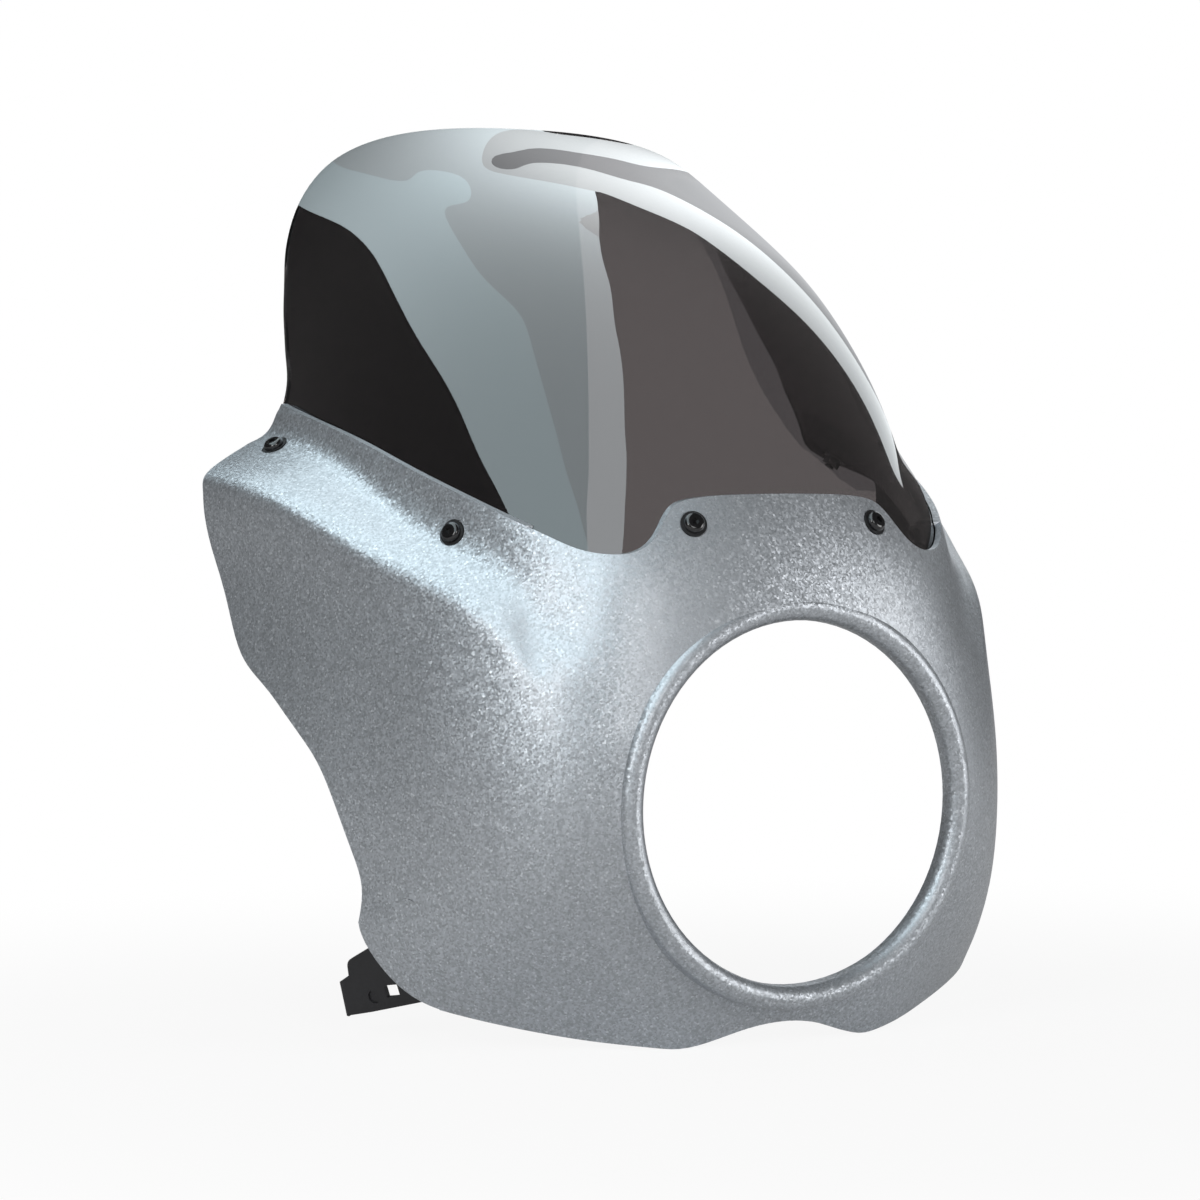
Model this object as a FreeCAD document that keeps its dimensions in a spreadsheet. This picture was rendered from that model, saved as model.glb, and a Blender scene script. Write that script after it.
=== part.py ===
import FreeCAD, Part
import Sketcher
import math
import os
from FreeCAD import Vector, Placement, Rotation

# Headlight cowl: a moulded shell around a round headlight opening, with a smoked
# screen behind its top edge, held by six button-head screws, and a stamped bracket
# on each side. Millimetres, +Z up, +Y towards the rider, origin at the centre of
# the headlight opening, in the plane of the crest of the rim bead.

doc = FreeCAD.newDocument("headlight_cowl")
sheet = doc.addObject("Spreadsheet::Sheet", "Sizes")

SIZES = [
    ("opening_radius", 84.0, "tunnel of the headlight opening"),
    ("bead_width", 11.5, "rim bead, from the opening to its foot on the face"),
    ("bead_outer_radius", "=opening_radius + bead_width", "foot of the rim bead on the face"),
    ("bead_inner_rounding", 5.9, "rounding of the bead into the tunnel"),
    ("bead_outer_rounding", 5.3, "rounding of the bead towards the face"),
    ("bead_depth", 20.0, "bead blank behind the crest plane, before the face trims it"),
    ("tunnel_depth", 9.5, "back edge of the tunnel wall"),
    ("face_cut_inset", 3.0, "bead beyond the opening cut in the face"),
    ("face_cut_radius", "=bead_outer_radius - face_cut_inset", "opening cut in the face"),
    ("bead_overlap", 0.8, "back of the bead inside the wall of the face"),
    ("wall", 3.2, "moulded wall of the shell"),
    ("screen_wall", 3.0, "wall of the smoked screen"),
    ("seat_gap", 0.6, "gap between the shell and the flange of the screen"),
    ("side_rake", 0.695, "widening of the side wall towards the rear"),
    ("side_bow", 0.0012, "rounding of the side wall in plan"),
    ("ridge_radius", 4.0, "rounding of the ridge between side panel and band"),
    ("band_slope", 0.235, "inward lean of the band above the ridge, front"),
    ("band_slope_gain", 0.15, "extra lean of the band at the rear"),
    ("band_step", 2.0, "inward step of the band at the crest plane"),
    ("band_step_gain", 0.165, "growth of the band step towards the rear"),
    ("band_step_bow", 0.00017, "rounding of that growth"),
    ("band_step_width", 29.0, "height over which the band steps in"),
    ("panel_sink", 2.2, "hollow of the side panel below the ridge"),
    ("flare", 3.0, "outward flare over the lower tip"),
    ("flare_height", -58.0, "height of the flare"),
    ("face_blend", 20.0, "blend between the face and the cheek"),
    ("tab_screw_side", 49.7, "tab screw from the middle"),
    ("tab_screw_height", 128.4, "tab screw height"),
    ("front_screw_back", 88.9, "front wing screw behind the crest plane"),
    ("front_screw_height", 124.0, "front wing screw height"),
    ("rear_screw_back", 213.7, "rear wing screw behind the crest plane"),
    ("rear_screw_height", 164.3, "rear wing screw height"),
    ("spot_depth", 0.5, "flat cut for each washer and nut"),
    ("spot_clearance", 0.4, "flat beyond the washer or nut, all round"),
    ("shank_radius", 2.45, "screw shank"),
    ("hole_clearance", 0.45, "hole beyond the shank, all round"),
    ("head_radius", 4.9, "button head"),
    ("head_height", 2.9, "button head"),
    ("head_rounding", 2.2, "rounding of the button head"),
    ("socket_radius", 1.75, "hexagon socket, to its corners"),
    ("socket_depth", 1.6, "hexagon socket"),
    ("washer_radius", 6.2, "washer under the head"),
    ("washer_height", 1.0, "washer under the head"),
    ("nut_flange_radius", 5.9, "flange of the lock nut"),
    ("nut_flange_height", 1.3, "flange of the lock nut"),
    ("nut_radius", 4.6, "hexagon of the lock nut, to its corners"),
    ("nut_height", 5.6, "lock nut"),
    ("thread_past_nut", 1.2, "shank beyond the lock nut"),
    ("boss_radius", 7.0, "moulded boss for a bracket screw"),
    ("boss_depth", 15.0, "bracket seat below the outer surface"),
    ("boss_root", 1.5, "boss root below the outer surface"),
    ("insert_radius", 3.5, "threaded insert in each boss"),
    ("insert_length", 6.5, "threaded insert"),
    ("bracket_wall", 2.5, "stamped steel of the bracket"),
    ("bracket_fold", 9.0, "folded end of the bracket"),
    ("bracket_fold_rounding", 2.2, "outer rounding of the fold"),
    ("bracket_rounding", 5.0, "rounding of the bracket corners"),
    ("bracket_back", 92.0, "bracket reference point behind the crest plane"),
    ("bracket_height", -72.0, "bracket reference height"),
    ("key_hole_width", 7.6, "square hole of the bracket"),
    ("key_hole_height", 6.0, "square hole of the bracket"),
    ("dimple_radius", 3.2, "pressed dimple of the bracket"),
    ("dimple_depth", 0.8, "pressed dimple of the bracket"),
    ("pan_radius", 4.6, "head of a bracket screw"),
    ("pan_height", 3.2, "head of a bracket screw"),
    ("pan_rounding", 1.4, "rounding of that head"),
]

# Stations of the shell, from the chin to the screen: height, depth of the face in the
# middle, depth of the cheek, slope of the cheek, width of the corner blend, and half
# width of the side wall carried to the crest plane.
STATIONS = [
    (-125.0, 28.0, -19.0, 0.85, 30.0, 98.0),
    (-66.0, 1.0, -39.0, 0.62, 30.0, 109.0),
    (0.0, -12.3, -66.0, 0.57, 32.0, 113.5),
    (61.0, -6.3, -54.0, 0.62, 34.5, 109.5),
    (100.0, 2.0, -30.3, 0.47, 35.0, 104.5),
    (142.0, 16.5, -4.3, 0.50, 36.0, 103.5),
    (200.0, 50.0, 38.0, 0.63, 40.0, 103.5),
]
STATION_COLUMNS = ["level", "face", "cheek", "cheek_slope", "corner_blend", "side_width"]

# Ridge: distance behind the crest plane and height.
RIDGE = [(34, 59), (45, 74), (63.5, 89.5), (104, 107), (151, 129), (190, 142), (224, 148),
         (260, 150)]

# Screen: height, front of the bubble, half width of the bubble at its open end.
BUBBLE_FRONT = [(122, 11), (142, 17), (187, 33), (222, 62), (251, 100), (274, 145),
                (300, 205), (320, 247), (328, 266), (340, 300), (343, 310)]
BUBBLE_WIDTH = [(122, 209), (137, 189), (148, 172), (160, 165), (182, 157.5), (222, 145.5),
                (251, 137), (271, 131), (300, 121), (320, 102.5), (343, 60)]
BUBBLE_END = 310.0
BUBBLE_POWER = 2.2

# Top edge of the shell in side view: distance behind the crest plane and height.
TOP_EDGE = [(43, 121.5), (65, 131.7), (91, 142.4), (123, 154.3), (156, 166),
            (195, 176.7), (236, 187)]

row = 1
for alias, value, note in SIZES:
    sheet.set("A%d" % row, note)
    sheet.set("B%d" % row, str(value))
    sheet.setAlias("B%d" % row, alias)
    row += 1
for number, station in enumerate(STATIONS, 1):
    for column, value in zip(STATION_COLUMNS, station):
        alias = "%s_%d" % (column, number)
        sheet.set("A%d" % row, "shell station %d, %s" % (number, column.replace("_", " ")))
        sheet.set("B%d" % row, str(value))
        sheet.setAlias("B%d" % row, alias)
        row += 1
doc.recompute()


def size(alias):
    return float(sheet.get(alias))


class Curve:
    """Natural cubic through a few stations."""

    def __init__(self, pairs):
        self.u = [float(a) for a, b in pairs]
        self.v = [float(b) for a, b in pairs]
        n = len(pairs)
        step = [self.u[i + 1] - self.u[i] for i in range(n - 1)]
        low = [0.0] * n
        rest = [0.0] * n
        for i in range(1, n - 1):
            rise = (self.v[i + 1] - self.v[i]) / step[i]
            fall = (self.v[i] - self.v[i - 1]) / step[i - 1]
            pivot = 2.0 * (step[i - 1] + step[i]) - step[i - 1] * low[i - 1]
            low[i] = step[i] / pivot
            rest[i] = (6.0 * (rise - fall) - step[i - 1] * rest[i - 1]) / pivot
        self.k = [0.0] * n
        for i in range(n - 2, 0, -1):
            self.k[i] = rest[i] - low[i] * self.k[i + 1]

    def __call__(self, t):
        last = len(self.u) - 2
        i = 0
        while i < last and t > self.u[i + 1]:
            i += 1
        span = self.u[i + 1] - self.u[i]
        slope = (self.v[i + 1] - self.v[i]) / span
        if t < self.u[0]:
            return self.v[0] + (t - self.u[0]) * (slope - span * self.k[1] / 6.0)
        if t > self.u[-1]:
            return self.v[-1] + (t - self.u[-1]) * (slope + span * self.k[-2] / 6.0)
        a = (self.u[i + 1] - t) / span
        b = 1.0 - a
        bend = (a ** 3 - a) * self.k[i] + (b ** 3 - b) * self.k[i + 1]
        return a * self.v[i] + b * self.v[i + 1] + bend * span * span / 6.0


def station_curve(column):
    pairs = []
    for number in range(1, len(STATIONS) + 1):
        pairs.append((size("level_%d" % number), size("%s_%d" % (column, number))))
    return Curve(pairs)


face_depth = station_curve("face")
cheek_depth = station_curve("cheek")
cheek_slope = station_curve("cheek_slope")
corner_blend = station_curve("corner_blend")
side_width = station_curve("side_width")
ridge_level = Curve(RIDGE)
bubble_front = Curve(BUBBLE_FRONT)
bubble_width = Curve(BUBBLE_WIDTH)
edge_level = Curve([(0, 143), (18, 143), (43, 124)] + TOP_EDGE[1:] + [(300, 206)])


def greater(a, b, width):
    blend = max(width - abs(a - b), 0.0) / width
    return max(a, b) + blend ** 3 * width / 6.0


def lesser(a, b, width):
    return -greater(-a, -b, width)


def rise(t):
    t = min(max(t, 0.0), 1.0)
    return t ** 3 * (10.0 + t * (-15.0 + 6.0 * t))


SIDE = {alias: size(alias) for alias in
        ["side_rake", "side_bow", "ridge_radius", "band_slope", "band_slope_gain",
         "band_step", "band_step_gain", "band_step_bow", "band_step_width", "panel_sink",
         "flare", "flare_height", "face_blend"]}


def side_wall(y, z):
    """Half width of the side at a depth and height: panel, ridge and leaning band."""
    x = side_width(z) + SIDE["side_rake"] * y - SIDE["side_bow"] * y * y
    over = z - ridge_level(min(max(y, RIDGE[0][0]), RIDGE[-1][0]))
    soft = 0.5 * (over + math.sqrt(over * over + SIDE["ridge_radius"] ** 2))
    lean = SIDE["band_slope"] + SIDE["band_slope_gain"] * rise((y - 80.0) / 140.0)
    inset = SIDE["band_step"] + SIDE["band_step_gain"] * y - SIDE["band_step_bow"] * y * y
    inset = max(inset, 0.0) * rise((over + 3.0) / SIDE["band_step_width"])
    under = min(max(-over / 130.0, 0.0), 1.0)
    sink = SIDE["panel_sink"] * math.sin(math.pi * under) ** 2 * rise((y - 60.0) / 60.0)
    bump = math.exp(-((z - SIDE["flare_height"]) / 16.0) ** 2) * rise((y - 55.0) / 50.0)
    return x - lean * soft - inset - sink + SIDE["flare"] * bump


def shell_depth(x, y, z):
    """About the distance of a point below the outer surface of the shell."""
    x = abs(x)
    slope = cheek_slope(z)
    face = greater(face_depth(z) + 0.0018 * x * x, cheek_depth(z) + slope * x,
                   SIDE["face_blend"])
    front = (y - face) / math.sqrt(1.0 + slope * slope)
    side = (side_wall(y, z) - x) * 0.92
    return lesser(front, side, corner_blend(z))


def outward(depth, point, reach=0.4):
    """Unit normal of a depth function, and the size of its gradient."""
    x, y, z = point.x, point.y, point.z
    grad = Vector(depth(x - reach, y, z) - depth(x + reach, y, z),
                  depth(x, y - reach, z) - depth(x, y + reach, z),
                  depth(x, y, z - reach) - depth(x, y, z + reach))
    length = grad.Length
    return grad.multiply(1.0 / length), length / (2.0 * reach)


def meet(depth, start, way, near, far):
    """First crossing of a depth function along a ray, by halving."""
    for turn in range(34):
        middle = 0.5 * (near + far)
        point = start + way * middle
        if depth(point.x, point.y, point.z) > 0.0:
            near = middle
        else:
            far = middle
    return start + way * near


WALL = size("wall")
SCREEN_WALL = size("screen_wall")
UNDER = WALL + size("seat_gap")
PLAN_CENTRE = 135.0


def shell_point(angle, z):
    way = Vector(math.sin(angle), -math.cos(angle), 0)
    return meet(shell_depth, Vector(0, PLAN_CENTRE, z), way, 20.0, 340.0)


def ridge_at(angle):
    level = 80.0
    for turn in range(8):
        level = ridge_level(shell_point(angle, level).y)
    return max(level, 50.0)


def shell_rows(angle, low, high):
    """Heights of the rows on one column; they follow the ridge along the side."""
    ridge = ridge_at(angle)
    start = ridge - 14.0
    rows = [low + (start - low) * k / 13.0 for k in range(13)]
    rows += [ridge + k for k in (-14, -9, -5, -2, 1, 4, 8, 13, 20, 28)]
    finish = ridge + 28.0
    return rows + [finish + (high - finish) * k / 6.0 for k in range(1, 7)]


def thick_skin(depth, outer, near, far):
    """Closed solid between two offsets of a grid of surface points."""
    grids = []
    for offset in (near, far):
        grid = []
        for line in outer:
            grid.append([point - outward(depth, point)[0] * offset for point in line])
        grids.append(grid)
    faces = []
    edges = []
    for grid in grids:
        surface = Part.BSplineSurface()
        surface.interpolate(grid)
        faces.append(surface.toShape())
        u0, u1, v0, v1 = surface.bounds()
        edges.append([surface.uIso(u0).toShape(), surface.uIso(u1).toShape(),
                      surface.vIso(v0).toShape(), surface.vIso(v1).toShape()])
    for first, second in zip(edges[0], edges[1]):
        faces.append(Part.makeRuledSurface(first, second))
    closed = Part.makeShell(faces)
    closed.sewShape()
    solid = Part.makeSolid(closed)
    if solid.Volume < 0:
        solid.reverse()
    return solid


def feature(label, shape):
    item = doc.addObject("Part::Feature", label)
    item.Shape = shape
    return item


def sketch_on(body, plane, label):
    sketch = body.newObject("Sketcher::SketchObject", label)
    for origin in body.Origin.OriginFeatures:
        if origin.Role == plane:
            sketch.AttachmentSupport = [(origin, "")]
    sketch.MapMode = "FlatFace"
    return sketch


def smooth_outline(sketch, runs):
    """Closed outline of runs; a run of two points is straight, more are a smooth curve."""
    for run in runs:
        points = [Vector(a, b, 0) for a, b in run]
        if len(points) == 2:
            sketch.addGeometry(Part.LineSegment(points[0], points[1]), False)
        else:
            curve = Part.BSplineCurve()
            curve.interpolate(points)
            sketch.addGeometry(curve, False)


def bound_outline(sketch, corners):
    """Closed polygon whose corners are tied to expressions of the sheet."""
    doc.recompute()
    values = []
    for pair in corners:
        spot = []
        for text in pair:
            spot.append(float(sheet.evalExpression(text)))
        values.append(spot)
    count = len(corners)
    for i in range(count):
        a = values[i]
        b = values[(i + 1) % count]
        sketch.addGeometry(Part.LineSegment(Vector(a[0], a[1], 0), Vector(b[0], b[1], 0)), False)
    for i in range(count):
        sketch.addConstraint(Sketcher.Constraint("Coincident", i, 2, (i + 1) % count, 1))
    for i, pair in enumerate(corners):
        for kind, axis, text, value in (("DistanceX", -2, pair[0], values[i][0]),
                                        ("DistanceY", -1, pair[1], values[i][1])):
            if abs(value) < 1e-9:
                sketch.addConstraint(Sketcher.Constraint("PointOnObject", i, 1, axis))
            else:
                made = sketch.addConstraint(Sketcher.Constraint(kind, -1, 1, i, 1, value))
                sketch.setExpression("Constraints[%d]" % made, text)


def screen_depth(x, y, z):
    """About the distance of a point inside the screen: flange below, bubble above."""
    follow = 1.0 - rise((z - edge_level(y) - 2.0) / 24.0)
    flange = 0.0
    if follow > 0.0:
        point = Vector(x, y, z)
        flange = shell_depth(x, y, z) / outward(shell_depth, point)[1] - UNDER
    bubble = 0.0
    if follow < 1.0:
        run = max(BUBBLE_END - y, 1e-6)
        wide = (abs(x) / max(bubble_width(z), 5.0)) ** BUBBLE_POWER
        deep = (run / max(BUBBLE_END - bubble_front(z), 5.0)) ** BUBBLE_POWER
        share = max(wide + deep, 1e-9) ** (1.0 / BUBBLE_POWER)
        bubble = math.hypot(x, run) * (1.0 / share - 1.0)
    return follow * flange + (1.0 - follow) * bubble


def mirrored(half):
    """Columns of one half, first on the middle plane, made into both halves."""
    other = [[Vector(-p.x, p.y, p.z) for p in line] for line in half[:0:-1]]
    return other + half


def trim(label, plane, runs, reach):
    body = doc.addObject("PartDesign::Body", label)
    sketch = sketch_on(body, plane, label + "_outline")
    smooth_outline(sketch, runs)
    pad = body.newObject("PartDesign::Pad", label + "_pad")
    pad.Profile = sketch
    pad.Midplane = True
    pad.Length = 2.0 * reach
    return body


def cylinder(label, radius, height, placement):
    item = doc.addObject("Part::Cylinder", label)
    item.setExpression("Radius", radius)
    item.setExpression("Height", height)
    item.Placement = placement
    return item


def together(label, items):
    item = doc.addObject("Part::MultiFuse", label)
    item.Shapes = items
    return item


def without(label, base, tool):
    item = doc.addObject("Part::Cut", label)
    item.Base = base
    item.Tool = tool
    return item


def reflect(label, source):
    item = doc.addObject("Part::Mirroring", label)
    item.Source = source
    item.Base = (0, 0, 0)
    item.Normal = (1, 0, 0)
    return item


def framed(point, normal, lift=0.0):
    return Placement(point + normal * lift, Rotation(Vector(0, 0, 1), normal))


# Shell skin, on columns around the plan centre and rows that follow the ridge.
lowest = size("level_1")
highest = size("level_7")
half = []
for k in range(25):
    angle = math.radians(121.0) * k / 24.0
    half.append([shell_point(angle, z) for z in shell_rows(angle, lowest, highest)])
skin = feature("shell_skin", thick_skin(shell_depth, mirrored(half), 0.0, WALL))

# Reach of the trimming blocks past the shell, and how deep those of the front go.
ABOVE = 300.0
BELOW = -220.0
BEHIND = 420.0
BESIDE = 300.0
TAB_TRIM_DEPTH = 56.0
CHIN_TRIM_DEPTH = 90.0

# Outline of the shell: tab and hollows in front view, wings and tips in side view,
# lobes and arch of the chin in front view.
TAB_HALF = [(0, 142), (30, 141.5), (47, 140), (55, 137.5), (61, 132), (67, 124), (73.8, 118),
            (80, 115.5), (90, 115), (99, 117), (107.6, 122), (114.2, 126.8), (124.6, 137)]
tab_line = [(-a, b) for a, b in TAB_HALF[:0:-1]] + TAB_HALF
end_a, end_b = TAB_HALF[-1]
front_trim = trim("front_trim", "XZ_Plane",
                  [tab_line, [(end_a, end_b), (end_a, ABOVE)], [(end_a, ABOVE), (-end_a, ABOVE)],
                   [(-end_a, ABOVE), (-end_a, end_b)]], TAB_TRIM_DEPTH)

CHIN_HALF = [(0, -102), (20, -104.5), (38, -110), (52, -112.5), (62.3, -111.6), (81.7, -109.2),
             (100.3, -106.1), (119, -102), (137.3, -97.1), (150, -93)]
chin_line = [(-a, b) for a, b in CHIN_HALF[:0:-1]] + CHIN_HALF
end_a, end_b = CHIN_HALF[-1]
chin_trim = trim("chin_trim", "XZ_Plane",
                 [chin_line, [(end_a, end_b), (end_a, BELOW)], [(end_a, BELOW), (-end_a, BELOW)],
                  [(-end_a, BELOW), (-end_a, end_b)]], CHIN_TRIM_DEPTH)

REAR_TOP = [(236, 187), (238, 178), (237.5, 169), (233, 161.5), (227, 154), (224.5, 147),
            (223.5, 139)]
REAR_SIDE = [(223.5, 139), (217, 114), (209.5, 100), (199.5, 81.5), (187, 64), (167, 49.5),
             (151, 36), (133, 18.5), (122, 0.5), (112, -22), (107, -37), (106.5, -46),
             (108, -55)]
REAR_TIP = [(108, -55), (106, -64), (101, -75), (94, -84.5), (81.5, -94)]
tip_y = REAR_TIP[-1][0]
tab_y = TOP_EDGE[0][0]
side_trim = trim("side_trim", "YZ_Plane",
                 [TOP_EDGE, REAR_TOP, REAR_SIDE, REAR_TIP, [REAR_TIP[-1], (tip_y, BELOW)],
                  [(tip_y, BELOW), (BEHIND, BELOW)], [(BEHIND, BELOW), (BEHIND, ABOVE)],
                  [(BEHIND, ABOVE), (tab_y, ABOVE)], [(tab_y, ABOVE), TOP_EDGE[0]]], BESIDE)

skin_cut = skin
for tool in (front_trim, chin_trim, side_trim):
    skin_cut = without("skin_less_" + tool.Name, skin_cut, tool)

# Rim bead, turned about the axis of the opening and trimmed by the inside of the face.
bead = doc.addObject("PartDesign::Body", "rim_bead")
bead_sketch = sketch_on(bead, "XY_Plane", "rim_bead_section")
bound_outline(bead_sketch, [("Sizes.opening_radius", "0"), ("Sizes.bead_outer_radius", "0"),
                            ("Sizes.bead_outer_radius", "Sizes.bead_depth"),
                            ("Sizes.opening_radius", "Sizes.bead_depth")])
turned = bead.newObject("PartDesign::Revolution", "rim_bead_ring")
turned.Profile = bead_sketch
turned.ReferenceAxis = (bead_sketch, ["V_Axis"])
turned.Angle = 360.0
doc.recompute()


def ring_edges(shape, radius, level, axis):
    names = []
    for number, edge in enumerate(shape.Edges, 1):
        if hasattr(edge.Curve, "Radius") and abs(edge.Curve.Radius - radius) < 1e-4:
            if abs(getattr(edge.Curve.Center, axis) - level) < 1e-4:
                names.append("Edge%d" % number)
    return names


def fillet(body, base, names, radius, label):
    item = body.newObject("PartDesign::Fillet", label)
    item.Base = (base, names)
    item.setExpression("Radius", radius)
    doc.recompute()
    return item


inner_round = fillet(bead, turned, ring_edges(turned.Shape, size("opening_radius"), 0.0, "y"),
                     "Sizes.bead_inner_rounding", "rim_bead_inner")
outer_round = fillet(bead, inner_round,
                     ring_edges(inner_round.Shape, size("bead_outer_radius"), 0.0, "y"),
                     "Sizes.bead_outer_rounding", "rim_bead_outer")
half = []
for k in range(9):
    angle = math.radians(42.0) * k / 8.0
    half.append([shell_point(angle, -125.0 + 25.0 * r) for r in range(11)])
behind = feature("behind_face", thick_skin(shell_depth, mirrored(half),
                                           WALL - size("bead_overlap"), WALL + 27.0))
along = Rotation(Vector(0, 0, 1), Vector(0, 1, 0))
tunnel = cylinder("tunnel_wall", "Sizes.opening_radius + Sizes.wall", "Sizes.tunnel_depth + 60",
                  Placement(Vector(0, -60, 0), along))
bead_cut = without("rim_bead_trimmed", bead, without("behind_tunnel", behind, tunnel))
opening = cylinder("opening_cut", "Sizes.face_cut_radius", "160",
                   Placement(Vector(0, -60, 0), along))

# Screw seats on the outer surface, right side.
def seat_on_face(x, z):
    point = meet(shell_depth, Vector(x, PLAN_CENTRE, z), Vector(0, -1, 0), 20.0, 300.0)
    return point, outward(shell_depth, point)[0]


def seat_on_side(y, z):
    point = meet(shell_depth, Vector(0, y, z), Vector(1, 0, 0), 20.0, 340.0)
    return point, outward(shell_depth, point)[0]


SEATS = [
    ("tab", seat_on_face(size("tab_screw_side"), size("tab_screw_height"))),
    ("wing_front", seat_on_side(size("front_screw_back"), size("front_screw_height"))),
    ("wing_rear", seat_on_side(size("rear_screw_back"), size("rear_screw_height"))),
]


def flip(vector):
    return Vector(-vector.x, vector.y, vector.z)


seats = []
for name, (point, normal) in SEATS:
    seats.append((name + "_%s_right", point, normal))
    seats.append((name + "_%s_left", flip(point), flip(normal)))

shell_cuts = []
screen_cuts = []
nut_plane = WALL + size("seat_gap") + SCREEN_WALL - size("spot_depth")
for name, point, normal in seats:
    shell_cuts.append(cylinder(name % "spot", "Sizes.washer_radius + Sizes.spot_clearance", "9",
                               framed(point, normal, -size("spot_depth"))))
    shell_cuts.append(cylinder(name % "hole", "Sizes.shank_radius + Sizes.hole_clearance", "20",
                               framed(point, normal, -15.0)))
    screen_cuts.append(cylinder(name % "screen_spot",
                                "Sizes.nut_flange_radius + Sizes.spot_clearance", "14",
                                framed(point, normal, -nut_plane - 14.0)))
    screen_cuts.append(cylinder(name % "screen_hole",
                                "Sizes.shank_radius + Sizes.hole_clearance", "20",
                                framed(point, normal, -15.0)))

# Bracket frame on the right wall: along the wall, up, outward.
wall_point, wall_normal = seat_on_side(size("bracket_back"), size("bracket_height"))
wall_along = Vector(0, 1, 0) - wall_normal * wall_normal.y
wall_along.normalize()
wall_up = wall_normal.cross(wall_along)
bracket_turn = Rotation(wall_along, wall_up, wall_normal, "ZXY")
bracket_base = wall_point - wall_normal * size("boss_depth")
bracket_frame = Placement(bracket_base, bracket_turn)

BRACKET_SCREWS = [("upper", -11.0, 21.0), ("lower", -17.0, -6.0)]
bosses = []
boss_spots = []
for name, a, b in BRACKET_SCREWS:
    seat = bracket_base + wall_along * a + wall_up * b
    skin_point = meet(shell_depth, seat, wall_normal, 0.5, 60.0)
    length = (skin_point - seat).Length
    boss = cylinder("boss_" + name, "Sizes.boss_radius", "%.4f - Sizes.boss_root" % length,
                    Placement(seat, bracket_turn))
    bore = cylinder("boss_bore_" + name, "Sizes.insert_radius", "Sizes.insert_length",
                    Placement(seat, bracket_turn))
    bosses += [boss, reflect("boss_%s_left" % name, boss)]
    shell_cuts += [bore, reflect("boss_bore_%s_left" % name, bore)]
    boss_spots.append((name, seat))

skin_open = without("skin_less_opening", skin_cut, opening)
shell_solid = together("shell_solid", [skin_open, bead_cut] + bosses)
cowl_shell = without("cowl_shell", shell_solid, together("shell_openings", shell_cuts))

# Smoked screen: rays from a point behind it, trimmed in side view.
SCREEN_EYE = Vector(0, 380.0, 60.0)
RAY_START = 60.0
RAY_END = 520.0
half = []
for k in range(25):
    turn = math.radians(60.0) * k / 24.0
    line = []
    for r in range(47):
        climb = math.radians(4.0 + 69.0 * r / 46.0)
        way = Vector(math.sin(turn) * math.cos(climb), -math.cos(turn) * math.cos(climb),
                     math.sin(climb))
        line.append(meet(screen_depth, SCREEN_EYE, way, RAY_START, RAY_END))
    half.append(line)
screen_skin = feature("screen_skin", thick_skin(screen_depth, mirrored(half), 0.0, SCREEN_WALL))

FLANGE = [(-60, 106), (88, 108), (115, 117), (168, 138), (213, 150), (235, 157)]
SCREEN_REAR = [(234, 187), (236.5, 195), (244, 212), (254, 229), (262.5, 246), (270.5, 262.5),
               (272.5, 279), (270.5, 295), (268.5, 310), (265, 327), (264, 345)]
ahead = FLANGE[0][0]
top_y = SCREEN_REAR[-1][0]
screen_body = trim("screen_outline", "YZ_Plane",
                   [FLANGE, [FLANGE[-1], SCREEN_REAR[0]], SCREEN_REAR,
                    [SCREEN_REAR[-1], (top_y, BEHIND)], [(top_y, BEHIND), (ahead, BEHIND)],
                    [(ahead, BEHIND), FLANGE[0]]], BESIDE)
screen_kept = doc.addObject("Part::Common", "screen_kept")
screen_kept.Base = screen_skin
screen_kept.Tool = screen_body
windscreen = without("windscreen", screen_kept, together("screen_openings", screen_cuts))


def turned_body(label, corners):
    """Body turned about its own upright axis from a section of radius and height."""
    body = doc.addObject("PartDesign::Body", label)
    sketch = sketch_on(body, "XZ_Plane", label + "_section")
    bound_outline(sketch, corners)
    ring = body.newObject("PartDesign::Revolution", label + "_turned")
    ring.Profile = sketch
    ring.ReferenceAxis = (sketch, ["V_Axis"])
    ring.Angle = 360.0
    doc.recompute()
    return body, ring


def hexagon(body, label, radius, level):
    sketch = sketch_on(body, "XY_Plane", label)
    sketch.AttachmentOffset = Placement(Vector(0, 0, level), Rotation())
    corners = []
    for k in range(6):
        corners.append(("%s * cos(%d deg)" % (radius, 60 * k + 30),
                        "%s * sin(%d deg)" % (radius, 60 * k + 30)))
    bound_outline(sketch, corners)
    return sketch


def screw(label, placement, head, tall, rounding, reach):
    """Screw with its head above the washer and its shank down to the reach."""
    top = "Sizes.washer_height + " + tall
    body, ring = turned_body(label, [("0", "-(%s)" % reach), ("Sizes.shank_radius", "-(%s)" % reach),
                                     ("Sizes.shank_radius", "Sizes.washer_height"),
                                     (head, "Sizes.washer_height"), (head, top), ("0", top)])
    level = float(sheet.evalExpression(top))
    wide = float(sheet.evalExpression(head))
    domed = fillet(body, ring, ring_edges(ring.Shape, wide, level, "z"), rounding, label + "_dome")
    socket = body.newObject("PartDesign::Pocket", label + "_socket")
    socket.Profile = hexagon(body, label + "_hexagon", "Sizes.socket_radius", level)
    socket.setExpression("Length", "Sizes.socket_depth")
    doc.recompute()
    if socket.Shape.Volume >= domed.Shape.Volume:
        raise RuntimeError("socket of " + label + " removed nothing")
    body.Placement = placement
    return body


def washer(label, placement):
    body, ring = turned_body(label, [("Sizes.shank_radius", "0"), ("Sizes.washer_radius", "0"),
                                     ("Sizes.washer_radius", "Sizes.washer_height"),
                                     ("Sizes.shank_radius", "Sizes.washer_height")])
    body.Placement = placement
    return body


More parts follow.
